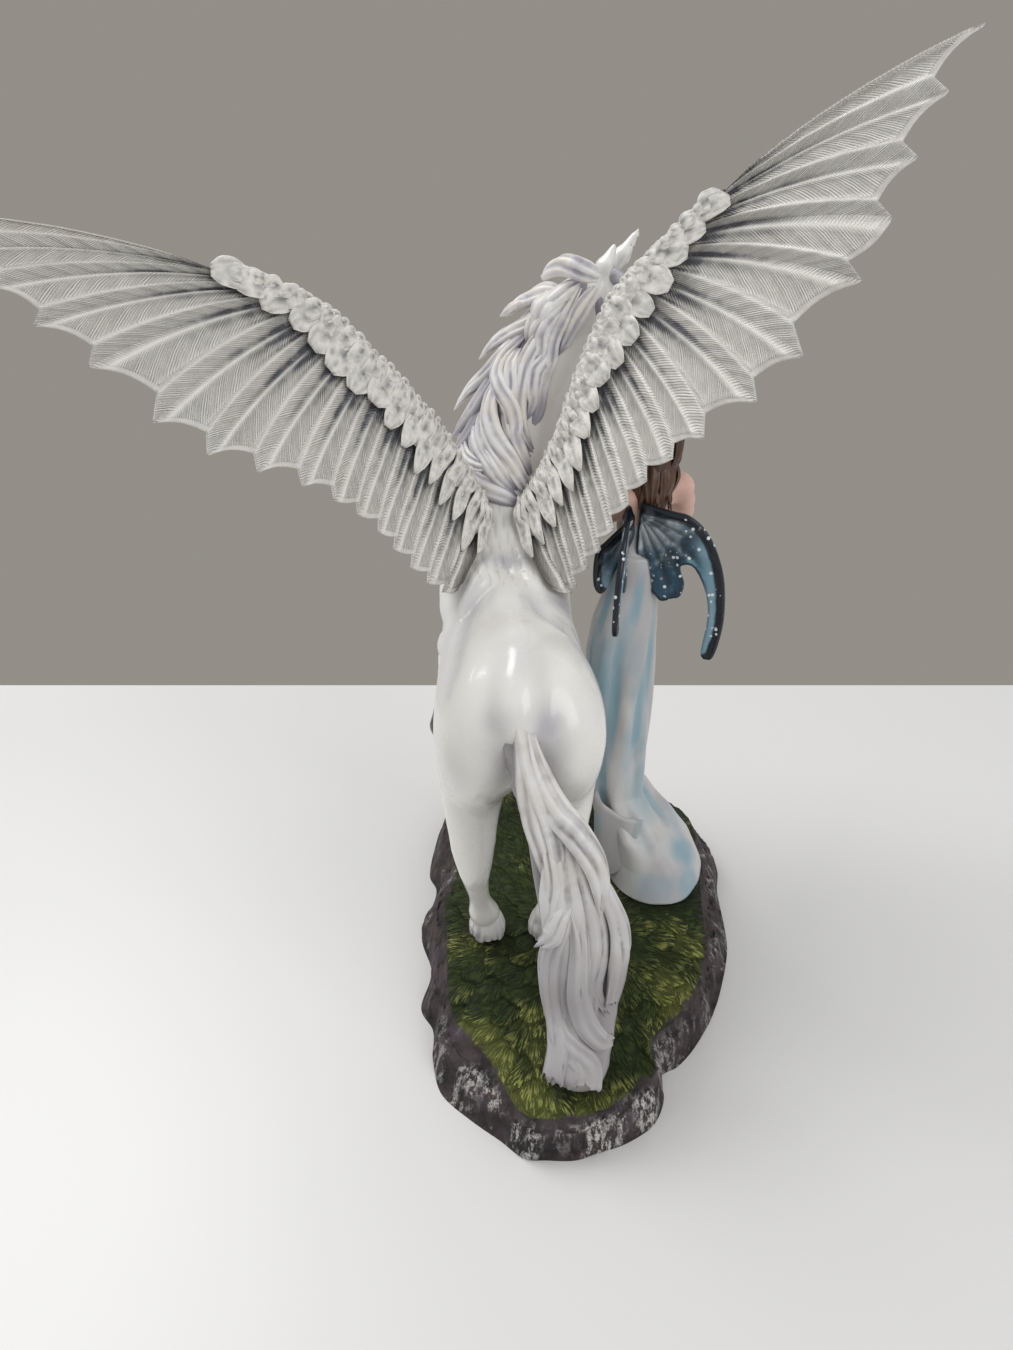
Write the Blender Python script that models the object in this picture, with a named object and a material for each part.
"""Fairy and pegasus figurine, a cold-cast resin piece painted by hand.

Frame: millimetres in the text, metres in the scene. The origin is on the flat
underside of the rock base. +Z is up, +Y is the way the pegasus walks, and +X
is the fairy's side. All seven castings are glued together, with no joints.
"""
import math

import bmesh
import bpy
import numpy as np

MM = 0.001

# Base casting
PAD_Z = 20.0
ROCK_TOP = 18.5
GRASS_SWELL = 1.2
BASE_SPOKES = 60

# Clearances between castings
SEAT_GAP = 0.3
SKIN_GAP = 1.4
FAIRY_GAP = 1.6

# Pegs at the roots of the big wings, in sockets of the pegasus
PEG_RADIUS = 2.6
PEG_LENGTH = 9.0
SOCKET_RADIUS = 2.9
SOCKET_EXTRA = 0.4

# Pegs at the roots of the fairy's wings, in sockets of her back
PIN_RADIUS = 1.4
PIN_LENGTH = 4.0
PIN_SOCKET_RADIUS = 1.7

# Detail of the faceted castings
HORSE_STEP = 2.6
HORSE_FACES = 5600
FAIRY_STEP = 2.3
FAIRY_FACES = 2500
FAIRY_WING_STEP = 0.9
FAIRY_WING_FACES = 420

# Outline of the underside, from the middle of the near edge round by the left
BASE_OUTLINE = [
    (0, -103), (-8, -106), (-18, -106), (-27, -105), (-36, -98), (-48, -89),
    (-59, -78), (-63, -62), (-64, -49), (-70, -37), (-67, -17), (-73, 5),
    (-68, 33), (-72, 46), (-71, 66), (-67, 88), (-55, 102), (-36, 110),
    (-12, 112), (12, 110), (34, 103), (50, 91), (62, 78), (72, 64),
    (74, 50), (71, 34), (70, 12), (68, -5), (62, -24), (55, -40),
    (45, -56), (36, -66), (28, -71), (28, -80), (25, -88), (20, -94),
    (10, -100),
]
PADS = [
    (-41, -11, 9), (-12, -13, 9), (-17, 86, 9), (34, 42, 27),
    (28, 20, 18), (46, 20, 16), (20, 55, 18),
]

# Leading edge of each wing in its own plane, root to wrist (across, up)
RIGHT_ARM = [(-12, 8), (-3, 27), (3, 47), (7, 70), (12, 91), (18, 105), (30, 119), (47, 137)]
LEFT_ARM = [(-10, 8), (0, 34), (13, 58), (29, 79), (43, 96), (62, 108), (79, 113)]
# Feather tips of each wing, outermost first
RIGHT_TIPS = [
    (123, 194), (118, 174), (114, 154), (111, 135), (107, 114), (94, 87), (82, 69),
    (66, 53), (56, 44), (48, 34), (43, 24), (39, 13), (35, 4), (31, -4), (27, -13),
    (22, -19),
]
LEFT_TIPS = [
    (176, 140), (163, 128), (154, 116), (146, 103), (133, 88), (118, 67), (103, 53),
    (87, 44), (72, 36), (61, 29), (53, 22), (46, 14), (41, 6), (35, -3), (29, -11),
    (20, -18),
]
RIGHT_ROOT = (-22, 62, 172)
LEFT_ROOT = (-46, 62, 172)
WING_SWEEP = 35.0
WING_TILT = 20.0
PLATE_HALF = 0.9
ARM_HALF = 4.2


def clear_scene():
    for item in list(bpy.data.objects):
        bpy.data.objects.remove(item, do_unlink=True)


def vec(*values):
    return np.array(values, dtype=float)


def unit(value):
    value = np.asarray(value, dtype=float)
    return value / max(1e-9, float(np.linalg.norm(value)))


def curve_points(points, count):
    """Resample a polyline as a smooth curve with an even number of samples."""
    points = np.asarray(points, dtype=float)
    padded = np.vstack([2 * points[0] - points[1], points, 2 * points[-1] - points[-2]])
    place = np.linspace(0, len(points) - 1, count)
    index = np.minimum(place.astype(int), len(points) - 2)
    t = (place - index)[:, None]
    a, b, c, d = padded[index], padded[index + 1], padded[index + 2], padded[index + 3]
    return 0.5 * (2 * b + (c - a) * t + (2 * a - 5 * b + 4 * c - d) * t ** 2
                  + (3 * b - a - 3 * c + d) * t ** 3)


class Solid:
    """A body described by distance: rounded pieces that melt into each other."""

    def __init__(self):
        self.pieces = []

    def put(self, distance, low, high, blend, cut=False):
        self.pieces.append((distance, np.asarray(low, float), np.asarray(high, float), blend, cut))

    def ball(self, centre, radii, blend=5.0, yaw=0.0, pitch=0.0, cut=False):
        centre, radii = vec(*centre), vec(*radii)
        cy, sy = math.cos(math.radians(yaw)), math.sin(math.radians(yaw))
        cp, sp = math.cos(math.radians(pitch)), math.sin(math.radians(pitch))
        turn = np.array([[cy, -sy, 0], [sy, cy, 0], [0, 0, 1]])
        turn = turn @ np.array([[1, 0, 0], [0, cp, -sp], [0, sp, cp]])

        def distance(p):
            q = (p - centre) @ turn
            near = np.linalg.norm(q / radii, axis=-1)
            steep = np.linalg.norm(q / radii ** 2, axis=-1) + 1e-9
            return near * (near - 1.0) / steep

        reach = float(radii.max())
        self.put(distance, centre - reach, centre + reach, blend, cut)

    def limb(self, a, b, ra, rb, blend=4.0, wide=None, flat=1.0, cut=False):
        """A tapered rod. wide is the direction it is broad in, flat the ratio."""
        a, b = np.asarray(a, float), np.asarray(b, float)
        along = b - a
        length2 = float(along @ along) + 1e-9
        axis = along / math.sqrt(length2)
        if wide is None:
            side = None
        else:
            side = unit(np.asarray(wide, float) - (np.asarray(wide, float) @ axis) * axis)

        def distance(p):
            q = p - a
            t = np.clip((q @ along) / length2, 0.0, 1.0)
            r = ra + (rb - ra) * t
            rest = q - t[..., None] * along
            if side is None:
                return np.linalg.norm(rest, axis=-1) - r
            broad = rest @ side
            total = np.maximum(np.sum(rest * rest, axis=-1) - broad ** 2, 0.0)
            thin = r * flat
            return (np.sqrt(total / thin ** 2 + (broad / r) ** 2) - 1.0) * thin

        reach = max(ra, rb)
        self.put(distance, np.minimum(a, b) - reach, np.maximum(a, b) + reach, blend, cut)

    def path(self, points, radii, blend=4.0, wide=None, flat=1.0, count=0):
        points = np.asarray(points, float)
        radii = np.asarray(radii, float)
        if count:
            radii = np.interp(np.linspace(0, 1, count), np.linspace(0, 1, len(radii)), radii)
            points = curve_points(points, count)
        for i in range(len(points) - 1):
            direction = wide[i] if wide is not None and np.ndim(wide) == 2 else wide
            self.limb(points[i], points[i + 1], radii[i], radii[i + 1], blend, direction, flat)

    @staticmethod
    def mix(old, new, blend, cut):
        if cut:
            return np.maximum(old, -new)
        if blend <= 0:
            return np.minimum(old, new)
        h = np.maximum(blend - np.abs(old - new), 0.0) / blend
        return np.minimum(old, new) - h * h * blend * 0.25

    def at(self, p):
        value = np.full(p.shape[:-1], 60.0)
        for distance, low, high, blend, cut in self.pieces:
            margin = blend + 8.0
            inside = np.all((p > low - margin) & (p < high + margin), axis=-1)
            if inside.any():
                value[inside] = self.mix(value[inside], distance(p[inside]), blend, cut)
        return value

    def slope(self, p):
        e = 0.05
        parts = []
        for axis in range(3):
            step = np.zeros(3)
            step[axis] = e
            parts.append(self.at(p + step) - self.at(p - step))
        grad = np.stack(parts, axis=-1)
        return grad / np.maximum(np.linalg.norm(grad, axis=-1, keepdims=True), 1e-9)

    def grid(self, low, step, shape):
        value = np.full(shape, 60.0)
        for distance, lo, hi, blend, cut in self.pieces:
            margin = blend + 2.5 * step
            start = np.maximum(np.floor((lo - margin - low) / step).astype(int), 0)
            stop = np.minimum(np.ceil((hi + margin - low) / step).astype(int) + 1, shape)
            if np.any(stop <= start):
                continue
            axes = [low[k] + step * np.arange(start[k], stop[k]) for k in range(3)]
            p = np.stack(np.meshgrid(*axes, indexing="ij"), axis=-1)
            box = tuple(slice(start[k], stop[k]) for k in range(3))
            value[box] = self.mix(value[box], distance(p), blend, cut)
        return value


def mend_corners(value):
    """Fill cells whose corners meet only across a diagonal, so the skin is clean."""
    corners = [(i, j, k) for i in (0, 1) for j in (0, 1) for k in (0, 1)]
    bad = np.zeros(256, dtype=bool)
    for code in range(256):
        for wanted in (0, 1):
            group = [c for n, c in enumerate(corners) if (code >> n & 1) == wanted]
            if not group:
                continue
            seen, stack = {group[0]}, [group[0]]
            while stack:
                x = stack.pop()
                for y in group:
                    if y not in seen and sum(abs(x[q] - y[q]) for q in range(3)) == 1:
                        seen.add(y)
                        stack.append(y)
            if len(seen) < len(group):
                bad[code] = True
    nx, ny, nz = value.shape
    for _ in range(30):
        inside = value < 0
        code = np.zeros((nx - 1, ny - 1, nz - 1), dtype=int)
        for n, (i, j, k) in enumerate(corners):
            code += inside[i:nx - 1 + i, j:ny - 1 + j, k:nz - 1 + k].astype(int) << n
        cells = np.argwhere(bad[code])
        if len(cells) == 0:
            break
        for i, j, k in cells:
            block = value[i:i + 2, j:j + 2, k:k + 2]
            outside = np.where(block < 0, 1e9, block)
            spot = np.unravel_index(int(np.argmin(outside)), (2, 2, 2))
            block[spot] = -0.02
    return value


def skin(solid, low, high, step, floor=None):
    """Wrap a solid in a closed skin of quads. floor cuts it flat at that height."""
    low, high = np.asarray(low, float), np.asarray(high, float)
    shape = tuple(int(math.ceil(v)) + 1 for v in (high - low) / step)
    value = solid.grid(low, step, shape)
    if floor is not None:
        height = low[2] + step * np.arange(shape[2])
        value = np.maximum(value, (floor - height)[None, None, :])
    value = mend_corners(value)
    inside = value < 0
    nx, ny, nz = shape
    cells = (nx - 1, ny - 1, nz - 1)
    total = np.zeros(cells + (3,))
    count = np.zeros(cells)
    for axis in range(3):
        others = [k for k in range(3) if k != axis]
        for du in (0, 1):
            for dv in (0, 1):
                first = [0, 0, 0]
                first[others[0]], first[others[1]] = du, dv
                second = list(first)
                second[axis] = 1
                a = value[tuple(slice(first[k], first[k] + cells[k]) for k in range(3))]
                b = value[tuple(slice(second[k], second[k] + cells[k]) for k in range(3))]
                hit = (a < 0) != (b < 0)
                t = np.where(hit, a / np.where(hit, a - b, 1.0), 0.0)
                for k in range(3):
                    total[..., k] += np.where(hit, first[k] + (t if k == axis else 0.0), 0.0)
                count += hit
    used = count > 0
    index = np.full(cells, -1)
    index[used] = np.arange(int(used.sum()))
    origin = np.argwhere(used)
    points = low + step * (origin + total[used] / count[used][:, None])
    quads = []
    for axis in range(3):
        u, v = [k for k in range(3) if k != axis]
        a = [slice(None)] * 3
        b = [slice(None)] * 3
        a[axis], b[axis] = slice(0, -1), slice(1, None)
        start, stop = inside[tuple(a)], inside[tuple(b)]
        for edge in np.argwhere(start != stop):
            if edge[u] == 0 or edge[v] == 0 or edge[u] >= cells[u] or edge[v] >= cells[v]:
                continue
            ring = []
            for du, dv in ((-1, -1), (0, -1), (0, 0), (-1, 0)):
                cell = edge.copy()
                cell[u] += du
                cell[v] += dv
                ring.append(int(index[tuple(cell)]))
            outward = bool(start[tuple(edge)])
            if axis == 1:
                outward = not outward
            quads.append(ring if outward else ring[::-1])
    return points, quads


def biggest_piece(points, faces):
    """Keep the largest connected shell."""
    parent = np.arange(len(points))

    def find(n):
        while parent[n] != n:
            parent[n] = parent[parent[n]]
            n = parent[n]
        return n

    for face in faces:
        root = find(face[0])
        for n in face[1:]:
            parent[find(n)] = root
    roots = np.array([find(n) for n in range(len(points))])
    names, sizes = np.unique(roots, return_counts=True)
    keep = roots == names[int(np.argmax(sizes))]
    number = np.cumsum(keep) - 1
    kept = [[int(number[n]) for n in face] for face in faces if keep[face[0]]]
    return points[keep], kept


def make_object(name, points, faces):
    mesh = bpy.data.meshes.new(name)
    mesh.from_pydata([tuple(p) for p in np.asarray(points) * MM], [], faces)
    mesh.update()
    item = bpy.data.objects.new(name, mesh)
    bpy.context.scene.collection.objects.link(item)
    return item


def settle(item):
    """Swap the mesh for the result of its modifiers."""
    graph = bpy.context.evaluated_depsgraph_get()
    mesh = bpy.data.meshes.new_from_object(item.evaluated_get(graph))
    item.modifiers.clear()
    item.data = mesh


def triangulate(item):
    work = bmesh.new()
    work.from_mesh(item.data)
    bmesh.ops.triangulate(work, faces=work.faces[:])
    work.to_mesh(item.data)
    work.free()


def thin_out(item, faces):
    triangulate(item)
    ratio = faces / max(1, len(item.data.polygons))
    if ratio < 1.0:
        modifier = item.modifiers.new("thin", "DECIMATE")
        modifier.ratio = ratio
        modifier.use_collapse_triangulate = True
        settle(item)


def flatten_floor(item, height, reach):
    for vertex in item.data.vertices:
        if vertex.co.z < (height + reach) * MM:
            vertex.co.z = height * MM


def boolean(item, other, operation):
    modifier = item.modifiers.new("cut", "BOOLEAN")
    modifier.operation = operation
    modifier.solver = "EXACT"
    modifier.object = other
    bpy.context.view_layer.update()
    settle(item)
    bpy.data.objects.remove(other, do_unlink=True)
    triangulate(item)


def rod(name, start, end, radius, sides=12):
    start, end = np.asarray(start, float), np.asarray(end, float)
    axis = unit(end - start)
    side = unit(np.cross(axis, vec(0.3, 0.2, 1.0)))
    up = np.cross(axis, side)
    points, faces = [], []
    for place in (start, end):
        for n in range(sides):
            a = 2 * math.pi * n / sides
            points.append(place + radius * (math.cos(a) * side + math.sin(a) * up))
    for n in range(sides):
        m = (n + 1) % sides
        faces.append([n, m, sides + m, sides + n])
    faces.append(list(range(sides))[::-1])
    faces.append([sides + n for n in range(sides)])
    item = make_object(name, points, faces)
    face_out(item)
    return item


def face_out(item):
    work = bmesh.new()
    work.from_mesh(item.data)
    bmesh.ops.recalc_face_normals(work, faces=work.faces[:])
    if work.calc_volume(signed=True) < 0:
        bmesh.ops.reverse_faces(work, faces=work.faces[:])
    work.to_mesh(item.data)
    work.free()


# Pegasus

def horse_trunk(s):
    s.ball((-43, -7, 123), (17.5, 30, 31), 10, yaw=4)
    s.ball((-13, -7, 123), (18, 30, 31), 10, yaw=4)
    s.ball((-28.5, -6, 139), (17.5, 26.5, 24.5), 10, yaw=4)
    s.ball((-31, 30, 131), (29.5, 44, 31), 14, yaw=4)
    s.ball((-34, 72, 130), (26, 30, 34), 12, yaw=4)
    s.ball((-33, 58, 150), (15, 28, 15), 10, yaw=4)
    s.ball((-46, 70, 136), (13, 20, 27), 8, yaw=4)
    s.ball((-20, 72, 136), (13, 20, 27), 8, yaw=4)


NECK = [(-35, 80, 146), (-36, 94, 176), (-31, 103, 206), (-20, 106, 234), (-6, 105, 256)]
NECK_RADII = [28, 24.5, 20.5, 17, 13.5]


def horse_neck_head(s):
    s.path(NECK, NECK_RADII, 8, wide=(0.1, 1, 0), flat=0.97, count=9)
    s.ball((2, 105, 261), (12, 12, 13), 6)
    s.ball((9, 108, 252), (10, 12, 13), 5)
    s.limb((6, 107, 258), (33, 121, 237), 11, 7.0, 5)
    s.limb((33, 121, 237), (39, 124, 231), 7.2, 6.6, 3)
    s.limb((14, 110, 247), (34, 121, 229), 7, 4.6, 4)
    for base, mid, tip in (((4, 99, 268), (7, 100, 276), (11, 102, 284)),
                           ((9, 109, 270), (15, 111, 279), (21, 112, 288))):
        s.path([base, mid, tip], [4.0, 3.7, 1.4], 2.5, wide=(0.5, -0.6, -0.2), flat=0.62)


def horse_legs(s):
    # Near hind leg, on the left, and the far one behind the tail
    for side in (-1, 1):
        m = -28.5
        s.ball((m + side * 17, -4, 112), (13, 23, 28), 8, pitch=12)
        s.path([(m + side * 19, 4, 100), (m + side * 18.5, -12, 76), (m + side * 17.5, -20, 62)],
               [14, 9, 6.6], 6, count=5)
        s.ball((m + side * 17.5, -22, 62), (5.6, 7, 8), 3)
        s.path([(m + side * 17.2, -20, 58), (m + side * 15.5, -16, 42), (m + side * 14, -14, 33)],
               [5.8, 4.6, 5.6], 3, count=5)
        s.limb((m + side * 14, -14, 33), (m + side * 12.8, -11, 26), 5.6, 6.2, 3)
        s.limb((m + side * 12.8, -11, 25), (m + side * 12.8, -10.5, 17), 6.4, 7.6, 1.5)
    # Far fore leg, standing
    s.path([(-17, 72, 118), (-16, 74, 96), (-17, 78, 70)], [14, 9.5, 6.4], 7, count=5)
    s.ball((-17, 79, 66), (6.2, 6.6, 7.4), 3)
    s.path([(-17, 79, 62), (-17, 80, 45), (-17, 81, 33)], [5.6, 4.6, 5.4], 3, count=5)
    s.limb((-17, 81, 33), (-17, 85, 26), 5.4, 6.0, 3)
    s.limb((-17, 85.5, 25), (-17, 86, 17), 6.4, 7.8, 1.5)
    # Near fore leg, lifted
    s.path([(-48, 74, 118), (-54, 90, 106), (-60, 108, 100)], [14, 10, 7], 7, count=5)
    s.ball((-60.5, 111, 99), (6.2, 6.8, 6.8), 3)
    s.path([(-61, 110, 97), (-62.5, 103, 84), (-63, 97, 74)], [5.8, 4.8, 5.4], 3, count=5)
    s.limb((-63, 97, 74), (-63.5, 90, 70), 5.4, 5.8, 3)
    s.limb((-63.5, 90, 70), (-64.5, 84, 65), 6.0, 7.2, 1.5)


def neck_place(place, angle, lift):
    """A point on the neck: place runs up it, angle goes round from the nape."""
    centre = curve_points(NECK, 33)
    radii = np.interp(np.linspace(0, 1, 33), np.linspace(0, 1, 5), NECK_RADII)
    f = min(max(place, 0.0), 1.0) * 32
    i = min(int(f), 31)
    c = centre[i] + (centre[i + 1] - centre[i]) * (f - i)
    r = radii[i] + (radii[i + 1] - radii[i]) * (f - i)
    axis = unit(centre[i + 1] - centre[i])
    back = unit(vec(0, -1, 0.15) - axis * (vec(0, -1, 0.15) @ axis))
    left = np.cross(axis, back)
    if left[0] > 0:
        left = -left
    a = math.radians(angle)
    extra = place - min(max(place, 0.0), 1.0)
    return c + axis * extra * 120 + (r * 1.0 + lift) * math.cos(a) * back \
        + (r * 0.86 + lift) * math.sin(a) * left


# Locks of the mane: width, then spots given as place up the neck, angle round it, lift off it
MANE_LOCKS = [
    (9.0, [(1.17, 0, 3), (1.16, 22, 5), (1.13, 54, 6), (1.07, 88, 6), (1.03, 92, 4)]),
    (9.0, [(1.06, 40, 3), (1.02, 66, 5), (0.95, 84, 7), (0.89, 86, 9), (0.84, 92, 11)]),
    (8.5, [(0.99, 42, 3), (0.90, 52, 4), (0.83, 66, 5), (0.77, 82, 7), (0.69, 92, 9)]),
    (8.5, [(0.85, 50, 3), (0.76, 54, 5), (0.67, 70, 5), (0.60, 84, 7), (0.53, 84, 10)]),
    (8.0, [(0.72, 62, 3), (0.62, 60, 4), (0.53, 68, 5), (0.45, 88, 7)]),
    (7.5, [(0.58, 60, 3), (0.48, 58, 4), (0.39, 70, 6)]),
    (9.5, [(0.45, 68, 3), (0.40, 58, 5), (0.35, 40, 5), (0.31, 20, 4), (0.28, -4, 4), (0.25, -26, 2)]),
    (8.0, [(1.12, 22, 3), (1.06, 32, 5), (0.98, 40, 6), (0.90, 38, 6), (0.83, 31, 3)]),
    (7.5, [(0.87, 44, 4), (0.77, 49, 6), (0.70, 44, 7), (0.66, 30, 7), (0.62, 13, 7), (0.57, 3, 6),
           (0.51, -2, 5), (0.47, -14, 4), (0.44, -34, 2)]),
    (7.0, [(0.96, 26, 4), (0.86, 21, 6), (0.79, 19, 6), (0.72, 14, 6), (0.65, 8, 5), (0.58, -2, 5),
           (0.51, -16, 4), (0.45, -36, 2)]),
    (7.0, [(0.95, 6, 3), (0.85, -1, 5), (0.77, 3, 6), (0.70, -2, 5), (0.66, -9, 4), (0.59, -10, 3)]),
    (7.0, [(1.14, -6, 3), (1.07, -4, 5), (0.99, -8, 5), (0.88, -14, 3)]),
    (7.0, [(1.11, 18, 3), (1.02, 12, 5), (0.92, 6, 5), (0.85, -4, 5), (0.78, -8, 4), (0.72, -12, 4),
           (0.66, -20, 3), (0.61, -22, 3), (0.57, -20, 2)]),
    (8.5, [(0.70, 50, 3), (0.62, 40, 5), (0.56, 32, 6), (0.49, 17, 6), (0.42, -3, 6), (0.34, -19, 5),
           (0.30, -28, 3)]),
    (7.5, [(0.61, 42, 3), (0.52, 38, 5), (0.44, 24, 5), (0.37, 3, 5), (0.31, -16, 3)]),
    (6.5, [(0.63, 24, 3), (0.56, 9, 5), (0.48, -8, 5), (0.42, -20, 4), (0.36, -34, 2)]),
    (7.5, [(0.53, 56, 3), (0.46, 40, 5), (0.40, 21, 5), (0.35, 6, 5), (0.29, -16, 3)]),
    (6.0, [(0.46, 68, 4), (0.41, 46, 6), (0.38, 30, 6), (0.38, 18, 5)]),
    (8.0, [(0.81, 36, 4), (0.74, 32, 6), (0.68, 22, 6), (0.63, 20, 5), (0.57, 18, 4)]),
    (7.0, [(1.04, 22, 4), (0.97, 24, 6), (0.90, 20, 6), (0.84, 10, 5), (0.80, 12, 4)]),
]


def mane_lock(s, spots, radii, blend, flat):
    """One lock lying on the neck, broad across and flat towards it."""
    points = np.array([neck_place(*spot) for spot in spots])
    inner = np.array([neck_place(place, angle, -18) for place, angle, _ in spots])
    s.path(points, radii, blend, wide=np.cross(np.gradient(points, axis=0), points - inner),
           flat=flat)


def horse_mane(s):
    # Bed of the mane, down the left side of the neck
    for turn, count in ((88, 9), (50, 8), (18, 7)):
        for n in range(count):
            start = 0.40 + 0.66 * n / (count - 1)
            spots = [(start - 0.28 * t, 6 + (turn - 6) * t ** 0.8, 0.6 + 1.4 * math.sin(math.pi * t))
                     for t in np.linspace(0, 1, 6)]
            mane_lock(s, spots, [3.0, 5.0, 5.4, 5.0, 4.0, 1.6], 2, 0.45)
    for wide, spots in MANE_LOCKS:
        share = np.linspace(0, 1, len(spots))
        shape = np.interp(share, [0, 0.15, 0.35, 0.6, 0.8, 0.93, 1.0],
                          [0.45, 0.9, 1.0, 1.0, 0.8, 0.5, 0.2])
        mane_lock(s, spots, 0.5 * wide * shape, 1.2, 0.62)
    # Locks over the poll, and the forelock
    for n in range(6):
        a = n / 5.0
        top = vec(-11 + 18 * a, 95 + 6 * a, 267 + 2.2 * math.sin(3 * a))
        reach = vec(-13 + 14 * a, -6 + 2 * math.sin(4 * a), -17 - 4 * a)
        s.path([top, top + reach * 0.45 + vec(-2, -3, 2.5), top + reach], [3.4, 3.6, 1.2], 2, count=5)
    s.path([(9, 104, 270), (18, 110, 268), (26, 116, 256)], [2.6, 3.6, 1.0], 2, count=5)


TAIL = [(-29, -32, 143), (-26, -38, 126), (-18, -45, 106), (-10, -53, 86), (-4, -62, 63),
        (-4, -71, 45), (-6, -81, 33), (-7, -90, 25.5)]


# Locks of the tail: path, width, thickness, way it faces
TAIL_LOCKS = [
    ([(-30, -31, 148), (-28.6, -37, 139), (-26.4, -41.6, 130), (-24.6, -46.4, 121),
     (-22.9, -51, 110), (-20.4, -55, 98), (-16.8, -57.5, 84)], [3, 7, 8.5, 9, 9, 8, 4],
     [3, 7, 8, 8, 8, 6, 2], (-0.5, -0.85, 0.15)),
    ([(-29, -30, 149), (-28, -38, 140), (-24.6, -43, 130), (-21.5, -48.2, 121),
     (-18.4, -52.6, 111), (-16, -56.5, 100), (-16.7, -59, 89)], [3, 6, 6.5, 7, 6.5, 6, 3],
     [3, 7, 8.5, 9, 8, 6, 2], (-0.1, -0.98, 0.2)),
    ([(-28, -30, 149), (-26, -37.5, 138), (-21.6, -43.8, 127), (-16, -50, 117),
     (-9.6, -55.5, 110), (-3.4, -59.6, 101), (0.4, -63, 91), (1.2, -64.5, 80)],
     [3, 7, 10, 11, 11, 9.5, 7, 2.5], [3, 8, 9, 9, 8.5, 8, 6, 2], (0.35, -0.9, 0.25)),
    ([(-14.5, -50, 108), (-13, -56, 98), (-12.5, -61.5, 86), (-12, -67, 74), (-11.4, -72, 61),
     (-10.9, -77.5, 48), (-10.1, -84.5, 38), (-9.4, -93, 28)], [6, 13, 17, 17, 16, 15, 15, 15],
     [4, 7, 8, 8, 8, 7, 7, 7], (-0.15, -0.95, 0.25)),
    ([(-9, -52, 104), (-5.8, -58.5, 94), (-3.2, -64, 80), (-1.8, -68.4, 68), (-2, -72.5, 56),
     (-2.6, -78.4, 46), (-3, -84.8, 37)], [4, 8, 9.5, 10, 9, 8, 6], [4, 7, 8, 8, 7, 6, 4],
     (0.35, -0.9, 0.25)),
    ([(-1.5, -55, 96), (2.4, -60.5, 87), (6.2, -65, 77), (8.2, -68.2, 68), (8.2, -70.4, 61),
     (6.2, -73.6, 54), (4, -76.2, 49)], [3, 7, 9, 10, 9.5, 8, 6], [3, 6, 7, 7, 6, 5, 4],
     (0.8, -0.6, 0.2)),
    ([(-9.6, -65, 84), (-8.2, -70, 74), (-7.9, -74.5, 63), (-6.6, -79.5, 54), (-3.7, -84, 46),
     (0.3, -87, 41.5), (4, -86, 41)], [3, 6, 7.5, 8.5, 9, 8, 5], [2, 5.5, 6.5, 7, 6.5, 6, 4],
     (0.05, -0.95, 0.3)),
    ([(-11, -63, 84), (-14.6, -67.5, 76), (-17, -71, 66), (-16.6, -75, 54), (-15.6, -80, 44),
     (-15.2, -86, 36.5), (-16, -92.5, 29)], [4, 8, 9, 8, 8, 9, 9], [3, 6, 7, 7, 7, 7, 6],
     (-0.6, -0.75, 0.2)),
    ([(-15, -77, 50), (-13.2, -82, 43), (-9.5, -86.5, 37), (-6, -90.5, 32), (-4.6, -94, 27)],
     [4, 9, 12, 13, 13], [3, 6, 7, 7, 7], (0, -0.9, 0.4)),
    ([(-9, -61, 88), (-13.6, -66.5, 82), (-17.4, -70.5, 76), (-20.6, -71.5, 73)], [3, 7, 8, 4],
     [2, 4, 4.5, 3], (-0.3, -0.85, 0.4)),
    ([(-20.4, -47, 116), (-18.4, -55, 103), (-17.6, -60, 92), (-16.5, -63.5, 82),
     (-17.5, -67, 74)], [3, 5, 7, 6, 2], [3, 5, 6, 5, 2], (-0.6, -0.8, 0.1)),
    ([(-3.5, -60, 84), (0.2, -65.5, 74), (1, -69, 64), (-0.3, -73.5, 54), (2, -77.5, 46.5)],
     [3, 5, 6, 6, 3], [2, 5, 6, 6, 3], (0.6, -0.75, 0.25)),
]


def horse_tail(s):
    core = curve_points(TAIL, 22) + vec(0, 1.5, 0)
    broad = np.interp(np.linspace(0, 1, 22), [0, 0.15, 0.4, 0.65, 0.85, 1.0], [5, 6, 10, 12, 10.5, 9])
    s.path(core, broad, 3, wide=(1, 0.1, 0), flat=0.74)
    for spots, width, thick, face in TAIL_LOCKS:
        count = 2 * len(spots) - 1
        points = curve_points(spots, count)
        radii = 0.5 * np.interp(np.linspace(0, 1, count), np.linspace(0, 1, len(width)), width)
        wide = np.cross(np.gradient(points, axis=0), vec(*face))
        s.path(points, radii, 1.2, wide=wide, flat=max(thick) / max(width))


SADDLE_LEFT = [(-32, 66, 168), (-37, 55, 166), (-42, 45, 163.5), (-47, 36, 159.5), (-51, 30, 154)]
SADDLE_RIGHT = [(-32, 66, 168), (-29, 58, 166), (-25.5, 51, 164), (-22.5, 45, 161.5), (-20, 39, 159)]


def wing_mounds(s):
    for side, root in ((1, RIGHT_ROOT), (-1, LEFT_ROOT)):
        x = root[0]
        s.path([(x - side * 10, 70, 168), (x + side * 1, 58, 160), (x + side * 7, 46, 149)],
               [9, 9, 7], 9, count=5)
    # The folds of the shoulders meet between the wings and part towards the flanks
    s.path(SADDLE_LEFT, [3.2, 3.4, 3.0, 2.2, 1.2], 5, count=9)
    s.path(SADDLE_RIGHT, [3.2, 2.8, 2.0, 1.6, 1.2], 5, count=9)


def horse_solid():
    s = Solid()
    horse_trunk(s)
    wing_mounds(s)
    horse_legs(s)
    horse_neck_head(s)
    horse_mane(s)
    horse_tail(s)
    return s


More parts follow.
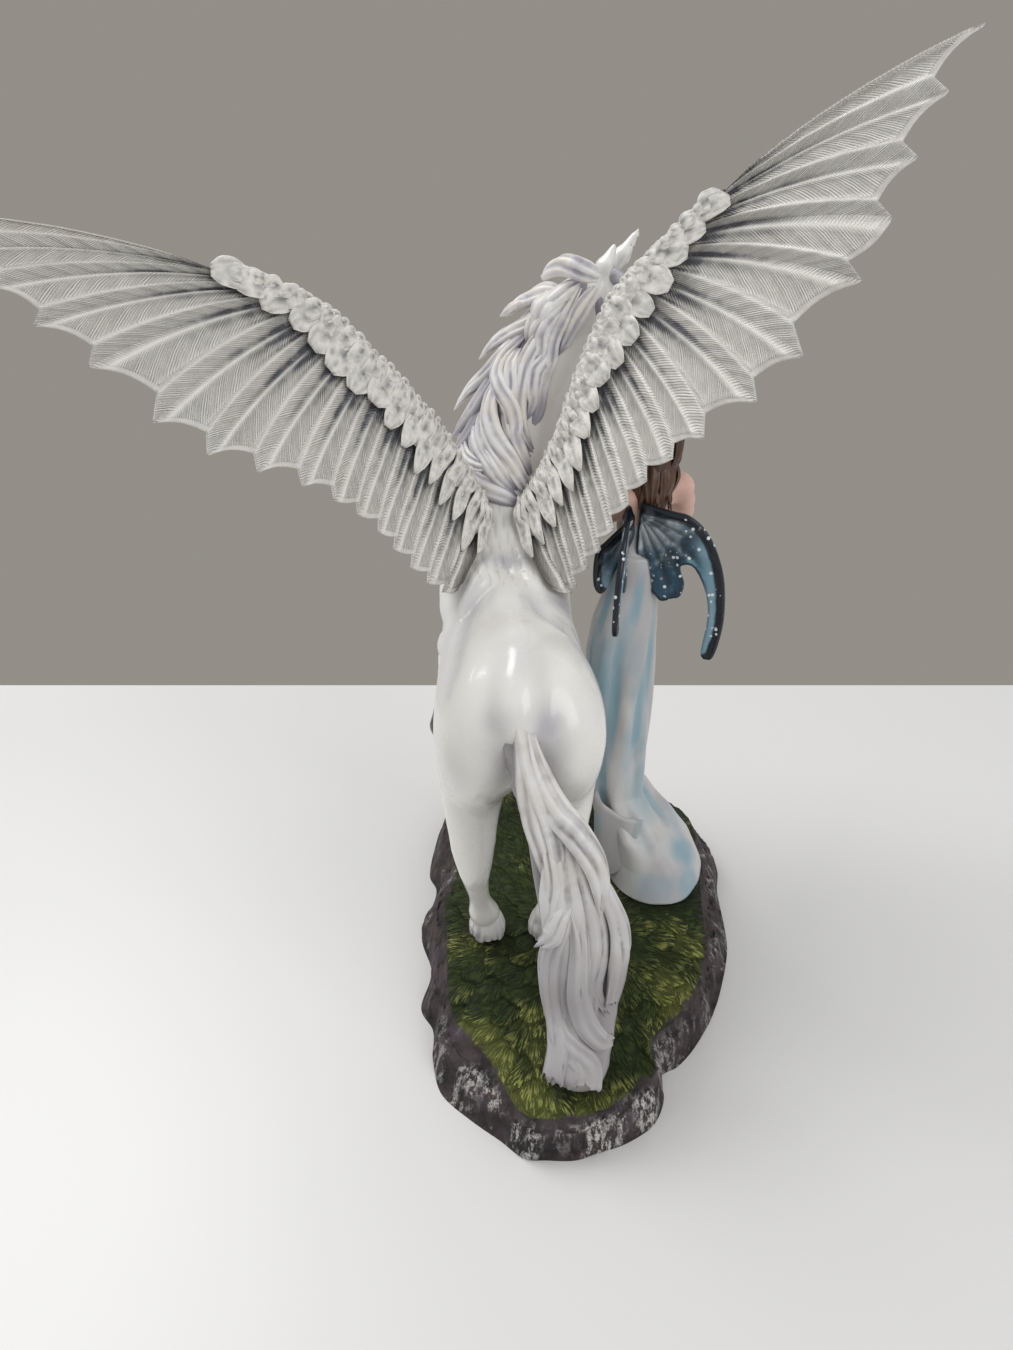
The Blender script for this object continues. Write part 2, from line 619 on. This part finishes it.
HORSE_LOW = (-84, -112, 12)
HORSE_HIGH = (56, 140, 300)


# Fairy

SKIRT = [
    # height, centre x, centre y, half width, half depth, fold depth
    (12, 36.5, 36, 24, 34, 0.07), (20, 36.5, 36, 23.5, 33.5, 0.07), (32, 34, 38, 21, 29, 0.08),
    (44, 27.6, 40, 17.8, 24.5, 0.08), (52, 22.6, 43, 14.2, 20, 0.08), (60, 18.9, 45, 12.0, 17.5, 0.08),
    (80, 18.0, 48, 13.4, 15, 0.07),
    (105, 17.8, 50, 14.0, 14, 0.06), (125, 17.6, 52, 14.4, 14, 0.05), (140, 18.6, 53.5, 13.6, 12.4, 0.03),
    (155, 20.6, 56, 11.2, 9.8, 0.0), (168, 21.8, 58, 9.4, 7.8, 0.0),
]


def skirt_distance(p):
    table = np.array(SKIRT, float)
    z = p[..., 2]
    cx, cy, rx, ry, fold = [np.interp(z, table[:, 0], table[:, k]) for k in range(1, 6)]
    dx, dy = (p[..., 0] - cx) / rx, (p[..., 1] - cy) / ry
    angle = np.arctan2(dy, dx)
    wave = np.cos(11 * angle + 0.035 * z + 1.2 * np.sin(2 * angle))
    r = np.sqrt(dx * dx + dy * dy)
    side = r - 1.0 - fold * wave
    size = np.minimum(rx, ry)
    d = side * size * 0.86
    return np.maximum(d, z - 168.0)


def fairy_body(s):
    s.put(skirt_distance, (6, 0, 12), (62, 74, 170), 5)
    s.limb((14, 27, 60), (28, 25, 57), 3.2, 2.8, 3)
    s.limb((20, 26, 58), (22, 17, 33), 8.0, 2.6, 3, wide=(1, 0, 0), flat=0.35)
    s.ball((21, 59.5, 165), (9.2, 7.4, 10), 6, yaw=26)
    s.ball((24.5, 62.5, 183), (12, 8.6, 13.5), 6, yaw=26)
    s.limb((15, 58.5, 193), (39, 69.5, 194), 5.6, 6.0, 5)
    s.ball((21.0, 70.5, 182), (5.0, 5.0, 5.2), 4)
    s.ball((29, 74, 182), (5.0, 5.0, 5.2), 4)
    s.limb((25.8, 62.5, 196), (26.4, 66.5, 210), 4.3, 4.0, 4)


def fairy_arms(s):
    s.path([(40.5, 69.5, 193), (43.5, 77, 181), (43, 85, 173)], [5.2, 4.2, 3.6], 3, count=5)
    s.path([(43, 85, 173), (41, 96, 186), (39.5, 104, 199)], [3.6, 3.2, 2.4], 2.5, count=5)
    s.limb((39.5, 104, 199), (38.5, 108, 206), 3.2, 2.0, 2, wide=(0, 1, 1), flat=0.6)
    s.path([(14, 58, 193), (7.5, 62, 184), (4, 67, 177)], [5.0, 4.2, 3.6], 3, count=5)
    s.path([(4, 67, 177), (-1.5, 75, 183), (-6, 82, 189)], [3.6, 3.1, 2.5], 2.5, count=5)
    s.limb((-6, 82, 189), (-8.5, 86, 194), 3.0, 2.0, 2, wide=(0, 1, 1), flat=0.6)


def fairy_head(s):
    s.ball((25.8, 70, 218), (8.2, 9.6, 11.6), 3, yaw=26)
    s.ball((22.8, 76.8, 211.5), (4.4, 4.2, 4.8), 4, yaw=26)
    s.limb((21.6, 79.4, 218), (20.9, 80.6, 215.4), 1.2, 1.7, 2)


def fairy_hair(s):
    s.ball((27, 67.2, 220.5), (10.2, 10.6, 11.6), 2, yaw=26)
    rng = np.random.default_rng(3)
    for n in range(11):
        a = math.radians(-95 + 19 * n)
        back = vec(0.43, -0.90, 0)
        right = vec(0.90, 0.43, 0)
        out = math.cos(a) * back + math.sin(a) * right
        start = vec(27, 66, 229) + out * 5
        wave = 1.4 * math.sin(2.0 * n)
        points = [start, vec(27, 66, 220) + out * 10, vec(26.6, 63.5, 207) + out * (9 + wave),
                  vec(26.2, 60.5, 197 - 4 * rng.random()) + out * (8.6 - wave)]
        s.path(points, [3.2, 4.0, 4.0, 1.6], 1.6, wide=np.tile(np.cross(out, (0, 0, 1)), (9, 1)),
               flat=0.6, count=9)


def fairy_solid(horse):
    s = Solid()
    fairy_body(s)
    fairy_arms(s)
    fairy_head(s)
    fairy_hair(s)
    s.put(lambda p: horse.at(p) - FAIRY_GAP, (-30, 0, 12), (66, 120, 250), 0, cut=True)
    return s


FAIRY_LOW = (-14, -4, 12)
FAIRY_HIGH = (66, 116, 242)


# Big wings

def wing_axes(side):
    s, t = math.radians(WING_SWEEP), math.radians(WING_TILT)
    normal = vec(-side * math.sin(s) * math.cos(t), -math.cos(s) * math.cos(t), math.sin(t))
    out = vec(side * math.cos(s), -math.sin(s), 0)
    up = np.cross(normal, out) * side
    return out, (up if up[2] > 0 else -up), normal


def arm_at(arm, place):
    fine = curve_points(arm, 80)
    length = np.concatenate([[0], np.cumsum(np.linalg.norm(np.diff(fine, axis=0), axis=1))])
    return np.stack([np.interp(place * length[-1], length, fine[:, k]) for k in (0, 1)], axis=-1)


def base_place(x, count):
    return 1.0 - 0.97 * (np.asarray(x, float) / count) ** 1.25


def trailing_edge(arm, tips, heel):
    """Notch and tip points along the feathered edge, outermost first."""
    tips = np.asarray(tips, float)
    count = len(tips)
    notches = []
    first = arm_at(arm, 1.0)
    notches.append(tips[0] + 4.0 * unit(first - tips[0]))
    for j in range(1, count):
        root = arm_at(arm, float(base_place(j, count)))
        step = tips[j - 1] - tips[j]
        inward = unit(unit(root - tips[j]) + 0.8 * unit(unit(root - tips[j])
                      - unit(step) * float(unit(root - tips[j]) @ unit(step))))
        notches.append(tips[j] + 0.25 * step + inward * 0.36 * float(np.linalg.norm(step)))
    notches.append(np.asarray(heel, float))
    return tips, np.array(notches)


def edge_point(tips, notches, feather, a):
    if a <= 0.2:
        return notches[feather] + (tips[feather] - notches[feather]) * (a / 0.2)
    b = (a - 0.2) / 0.8
    step = notches[feather + 1] - tips[feather]
    bulge = vec(step[1], -step[0]) * (0.10 * math.sin(math.pi * b))
    middle = notches[feather + 1] * 0.5 + tips[feather] * 0.5
    inner = tips.mean(axis=0) * 0.6
    if float(bulge @ (middle - inner)) < 0:
        bulge = -bulge
    return tips[feather] + step * b + bulge


WING_ACROSS = (0.0, 0.2, 0.6)
WING_ROWS = (0.0, 1.6, 4.4, 8.5, 14.0)
WING_REST = (0.5, 0.97, 1.0)


def wing_plate(side, root, arm, tips, heel, horse):
    out, up, normal = wing_axes(side)
    tips, notches = trailing_edge(arm, tips, heel)
    count = len(tips)
    columns = [(i, a) for i in range(count) for a in WING_ACROSS] + [(count - 1, 1.0)]
    rows = len(WING_ROWS) + len(WING_REST)
    middle = np.zeros((len(columns), rows, 3))
    half = np.zeros((len(columns), rows))
    relief = np.zeros((len(columns), rows))
    for c, (feather, a) in enumerate(columns):
        x = feather + a
        s = float(base_place(x, count))
        start = arm_at(arm, s)
        end = edge_point(tips, notches, feather, a)
        chord = float(np.linalg.norm(end - start))
        direction = (end - start) / chord
        across = vec(-direction[1], direction[0])
        arm_half = ARM_HALF * (1.0 - 0.36 * s)
        reach = [min(d, 0.42 * chord * d / 14.0) for d in WING_ROWS]
        for r in range(rows):
            if r < len(WING_ROWS):
                d = reach[r]
            else:
                d = reach[-1] + (chord - reach[-1]) * WING_REST[r - len(WING_ROWS)]
            t = d / chord
            uv = start + direction * d + across * (0.045 * chord * 4 * t * (1 - t))
            inner = math.exp(-((uv[1] - 20) / 58.0) ** 2)
            lift = 8.0 * inner * min(1.0, d / 32.0) - 5.0 * (d / 100.0) ** 2
            middle[c, r] = vec(*root) + out * uv[0] + up * uv[1] + normal * lift
            q = min(1.0, d / (2.3 * arm_half))
            bump = arm_half * math.sqrt(max(0.0, 1 - (2 * q - 1) ** 2))
            rim = 0.55 + 0.45 * min(1.0, (chord - d) / 6.0)
            heel_half = 1.6 * max(0.0, 1.0 - (count - x) / 1.6) * (1.0 - 0.6 * t)
            half[c, r] = PLATE_HALF * rim + bump * 0.85 + heel_half
            if 8.0 < d < 13.9:
                half[c, r] += 0.7
            wave = 0.5 + 0.5 * math.cos(2 * math.pi * min(1.0, a * 0.86))
            relief[c, r] = (1.5 * wave - 0.7) * min(1.0, max(0.0, (d - 8.0) / 8.0))
            if c == 0:
                relief[c, r] = 0.0
    front_thick = half + relief
    back_thick = half - relief * 0.35
    for _ in range(14):
        front = middle + normal * front_thick[..., None]
        back = middle - normal * back_thick[..., None]
        need = SKIN_GAP - np.minimum(horse.at(front), horse.at(back))
        if float(need.max()) <= 0:
            break
        move = np.maximum(need, 0.0)[..., None] * horse.slope(middle)
        middle = middle + move * 0.8
    front = middle + normal * front_thick[..., None]
    back = middle - normal * back_thick[..., None]
    return front, back


def close_plate(name, front, back):
    columns, rows = front.shape[:2]
    points = np.concatenate([front.reshape(-1, 3), back.reshape(-1, 3)])
    half = columns * rows

    def f(c, r):
        return c * rows + r

    def b(c, r):
        return half + c * rows + r

    faces = []
    for c in range(columns - 1):
        for r in range(rows - 1):
            faces.append([f(c, r), f(c + 1, r), f(c + 1, r + 1), f(c, r + 1)])
            faces.append([b(c, r), b(c, r + 1), b(c + 1, r + 1), b(c + 1, r)])
        faces.append([f(c, 0), b(c, 0), b(c + 1, 0), f(c + 1, 0)])
        faces.append([f(c, rows - 1), f(c + 1, rows - 1), b(c + 1, rows - 1), b(c, rows - 1)])
    for r in range(rows - 1):
        faces.append([f(0, r), f(0, r + 1), b(0, r + 1), b(0, r)])
        last = columns - 1
        faces.append([f(last, r), b(last, r), b(last, r + 1), f(last, r + 1)])
    item = make_object(name, points, faces)
    face_out(item)
    triangulate(item)
    return item


RIGHT_HEEL = (12, -20)
LEFT_HEEL = (10, -19)
PEG_AIM = (-34, 78, 150)


def big_wing(name, side, root, arm, tips, heel, horse, horse_item):
    front, back = wing_plate(side, root, arm, tips, heel, horse)
    item = close_plate(name, front, back)
    spot = (front[-4, 2] + back[-4, 2]) / 2
    aim = unit(vec(*PEG_AIM) - spot)
    depth = 0.0
    while float(horse.at((spot + aim * depth)[None])[0]) > 0 and depth < 40:
        depth += 0.25
    end = spot + aim * (depth + PEG_LENGTH)
    boolean(item, rod("peg", spot, end, PEG_RADIUS), "UNION")
    socket = rod("socket", spot, end + aim * SOCKET_EXTRA, SOCKET_RADIUS, 14)
    boolean(horse_item, socket, "DIFFERENCE")
    return item


# Fairy's wings

RIGHT_FAN_ROOT = (23.8, 51.5, 189)
LEFT_FAN_ROOT = (16.4, 49.5, 188)
RIGHT_FAN = (0.90, -0.435)
LEFT_FAN = (-0.16, -0.99)
LEFT_LOBE = (-0.99, -0.08)
RIGHT_OUTLINE = [
    (-2, 4), (5, 2.6), (12, 1.8), (18, 0.8), (25, -4.5), (30.5, -13.5), (34.5, -25.5),
    (36.2, -41), (35.4, -53), (33.7, -60.4), (31.7, -61.9), (28.4, -59.7), (29.5, -45),
    (29, -36.5), (26.4, -28), (21.5, -20.5), (17, -20.5), (16.5, -23.3), (18.5, -29),
    (17.3, -34.4), (14, -36), (9.4, -37.8), (5, -34.3), (1, -34.5), (-2.5, -24), (-3, -8),
]
LEFT_OUTLINE = [
    (-2, 4), (5, 2), (11, 0), (17, -4), (22, -10), (26, -18), (28, -28), (28.5, -36),
    (27, -41), (24.5, -42), (23, -38), (22.5, -30), (20, -23), (15, -19), (12, -22),
    (11, -28), (7, -31), (2, -29), (-2, -20), (-3, -8),
]
LOBE_OUTLINE = [
    (-2, 0), (4, -6), (9, -11), (12.6, -15), (13.4, -24), (12.6, -31), (10, -34), (7, -31.5),
    (4, -24), (0, -16), (-3, -8),
]


def inside_outline(outline, w, z):
    """Signed distance to a closed outline, negative inside."""
    corners = np.asarray(outline, float)
    best = np.full(w.shape, 1e9)
    inside = np.zeros(w.shape, dtype=bool)
    for n in range(len(corners)):
        ax, az = corners[n]
        bx, bz = corners[(n + 1) % len(corners)]
        ex, ez = bx - ax, bz - az
        t = np.clip(((w - ax) * ex + (z - az) * ez) / (ex * ex + ez * ez), 0, 1)
        best = np.minimum(best, (w - ax - t * ex) ** 2 + (z - az - t * ez) ** 2)
        crosses = ((az > z) != (bz > z))
        edge = ax + (z - az) / (ez if ez else 1e-9) * ex
        inside ^= crosses & (w < edge)
    best = np.sqrt(best)
    return np.where(inside, -best, best)


def smooth_outline(points, count=90):
    closed = np.vstack([points, points[:1]])
    return curve_points(closed, count)[:-1]


def add_fan(s, root, heading, outline, bend, thick):
    """A curved plate standing on its edge, heading away from the root."""
    root = vec(*root)
    e = unit(vec(heading[0], heading[1], 0))
    m = vec(-e[1], e[0], 0)
    outline = smooth_outline(np.asarray(outline, float))

    def distance(p):
        q = p - root
        w, z = q @ e, q[..., 2]
        off = q @ m - bend * (np.maximum(w, 0) / 30.0) ** 2
        rim = inside_outline(outline, w, z)
        return np.maximum(np.abs(off) - thick, rim * 0.95)

    far = float(np.abs(outline).max()) + 4
    s.put(distance, root - far, root + vec(far, far, 8), 1.5)


def fairy_wing_solid(side, fairy):
    s = Solid()
    if side > 0:
        root = RIGHT_FAN_ROOT
        add_fan(s, root, RIGHT_FAN, RIGHT_OUTLINE, 2.0, 1.15)
    else:
        root = LEFT_FAN_ROOT
        add_fan(s, root, LEFT_FAN, LEFT_OUTLINE, -2.0, 1.15)
        add_fan(s, root, LEFT_LOBE, LOBE_OUTLINE, 0.5, 1.1)
    s.ball((root[0], root[1] - 0.2, root[2] - 1), (2.5, 2.8, 3.6), 2)
    low, high = vec(*root) - 50, vec(*root) + 50
    s.put(lambda p: fairy.at(p) - 0.5, low, high, 0, cut=True)
    return s


def fairy_wing(name, side, fairy, fairy_item):
    s = fairy_wing_solid(side, fairy)
    root = vec(*(RIGHT_FAN_ROOT if side > 0 else LEFT_FAN_ROOT))
    if side > 0:
        low, high = root + vec(-6, -24, -66), root + vec(42, 8, 8)
    else:
        low, high = root + vec(-20, -36, -48), root + vec(5, 8, 8)
    points, faces = biggest_piece(*skin(s, low, high, FAIRY_WING_STEP))
    item = make_object(name, points, faces)
    thin_out(item, FAIRY_WING_FACES)
    aim = unit(vec(0.15, 1.0, -0.15))
    spot = root + vec(0, 0, -1)
    depth = 0.0
    while float(fairy.at((spot + aim * depth)[None])[0]) > 0 and depth < 12:
        depth += 0.1
    end = spot + aim * (depth + PIN_LENGTH)
    boolean(item, rod("pin", spot, end, PIN_RADIUS, 8), "UNION")
    socket = rod("hole", spot, end + aim * SOCKET_EXTRA, PIN_SOCKET_RADIUS, 10)
    boolean(fairy_item, socket, "DIFFERENCE")
    return item


# Base

def base_radius(angles):
    outline = curve_points(np.vstack([BASE_OUTLINE, BASE_OUTLINE[:1]]), 900)[:-1]
    bearing = np.arctan2(outline[:, 1], outline[:, 0])
    order = np.argsort(bearing)
    reach = np.hypot(outline[:, 0], outline[:, 1])
    return np.interp(angles, bearing[order], reach[order], period=2 * math.pi)


def grass_height(x, y):
    z = ROCK_TOP + GRASS_SWELL * (0.6 + 0.4 * np.sin(0.07 * x + 1.0) * np.cos(0.05 * y - 0.4))
    z = z + 0.6 * np.sin(0.21 * x + 0.13 * y) * np.sin(0.17 * y - 0.11 * x + 2.0)
    for px, py, reach in PADS:
        far = np.hypot(x - px, y - py)
        keep = np.clip((far - reach - 9.0) / 12.0, 0.0, 1.0)
        z = PAD_Z + (np.minimum(z, PAD_Z) - PAD_Z) * keep
    return np.minimum(z, PAD_Z)


def base_item(name):
    spokes = BASE_SPOKES
    angles = np.linspace(-math.pi, math.pi, spokes, endpoint=False)
    reach = base_radius(angles)
    rings = []
    for share in (0.12, 0.24, 0.36, 0.48, 0.6, 0.7, 0.79, 0.86):
        x, y = share * reach * np.cos(angles), share * reach * np.sin(angles)
        rings.append(np.stack([x, y, grass_height(x, y)], axis=-1))
    rock = 0.5 * np.sin(9 * angles + 1) + 0.5 * np.sin(17 * angles + 2.2)
    for inset, height, rough in ((9.5, 17.2, 0.8), (4.6, 13.2, 1.3), (1.0, 7.5, 1.0), (0.3, 3.0, 0.7),
                                 (0.0, 0.0, 0.0)):
        r = reach - inset + rough * rock
        rings.append(np.stack([r * np.cos(angles), r * np.sin(angles),
                               np.full(spokes, height) + 0.35 * rough * np.cos(11 * angles)
                               * (height > 0)], axis=-1))
    points = [vec(0, 0, float(grass_height(np.array(0.0), np.array(0.0))))]
    for ring in rings:
        points.extend(ring)
    points.append(vec(0, 0, 0))
    faces = []
    for n in range(spokes):
        m = (n + 1) % spokes
        faces.append([0, 1 + n, 1 + m])
        for k in range(len(rings) - 1):
            a, b = 1 + k * spokes, 1 + (k + 1) * spokes
            faces.append([a + n, b + n, b + m, a + m])
        last = 1 + (len(rings) - 1) * spokes
        faces.append([len(points) - 1, last + m, last + n])
    item = make_object(name, points, faces)
    face_out(item)
    triangulate(item)
    return item


# Assembly

def paint(item, name, colour, rough):
    material = bpy.data.materials.new(name)
    material.use_nodes = True
    shader = material.node_tree.nodes["Principled BSDF"]
    shader.inputs["Base Color"].default_value = (*colour, 1.0)
    shader.inputs["Roughness"].default_value = rough
    item.data.materials.clear()
    item.data.materials.append(material)


def main():
    clear_scene()
    seat = PAD_Z + SEAT_GAP
    horse = horse_solid()
    points, faces = biggest_piece(*skin(horse, HORSE_LOW, HORSE_HIGH, HORSE_STEP, seat))
    pegasus = make_object("pegasus", points, faces)
    thin_out(pegasus, HORSE_FACES)
    flatten_floor(pegasus, seat, 1.0)

    fairy = fairy_solid(horse)
    points, faces = biggest_piece(*skin(fairy, FAIRY_LOW, FAIRY_HIGH, FAIRY_STEP, seat))
    lady = make_object("fairy", points, faces)
    thin_out(lady, FAIRY_FACES)
    flatten_floor(lady, seat, 1.0)

    right = big_wing("pegasus_wing_right", 1, RIGHT_ROOT, RIGHT_ARM, RIGHT_TIPS, RIGHT_HEEL,
                     horse, pegasus)
    left = big_wing("pegasus_wing_left", -1, LEFT_ROOT, LEFT_ARM, LEFT_TIPS, LEFT_HEEL,
                    horse, pegasus)
    fan_right = fairy_wing("fairy_wings_right", 1, fairy, lady)
    fan_left = fairy_wing("fairy_wings_left", -1, fairy, lady)
    base = base_item("base")

    paint(base, "painted_rock", (0.10, 0.13, 0.06), 0.75)
    paint(pegasus, "white_gloss_resin", (0.82, 0.81, 0.80), 0.22)
    paint(left, "ivory_resin_left", (0.76, 0.74, 0.71), 0.45)
    paint(right, "ivory_resin_right", (0.76, 0.74, 0.71), 0.45)
    paint(lady, "fairy_paint", (0.62, 0.76, 0.82), 0.40)
    paint(fan_right, "blue_lacquer_right", (0.02, 0.07, 0.14), 0.15)
    paint(fan_left, "blue_lacquer_left", (0.02, 0.07, 0.14), 0.15)


main()
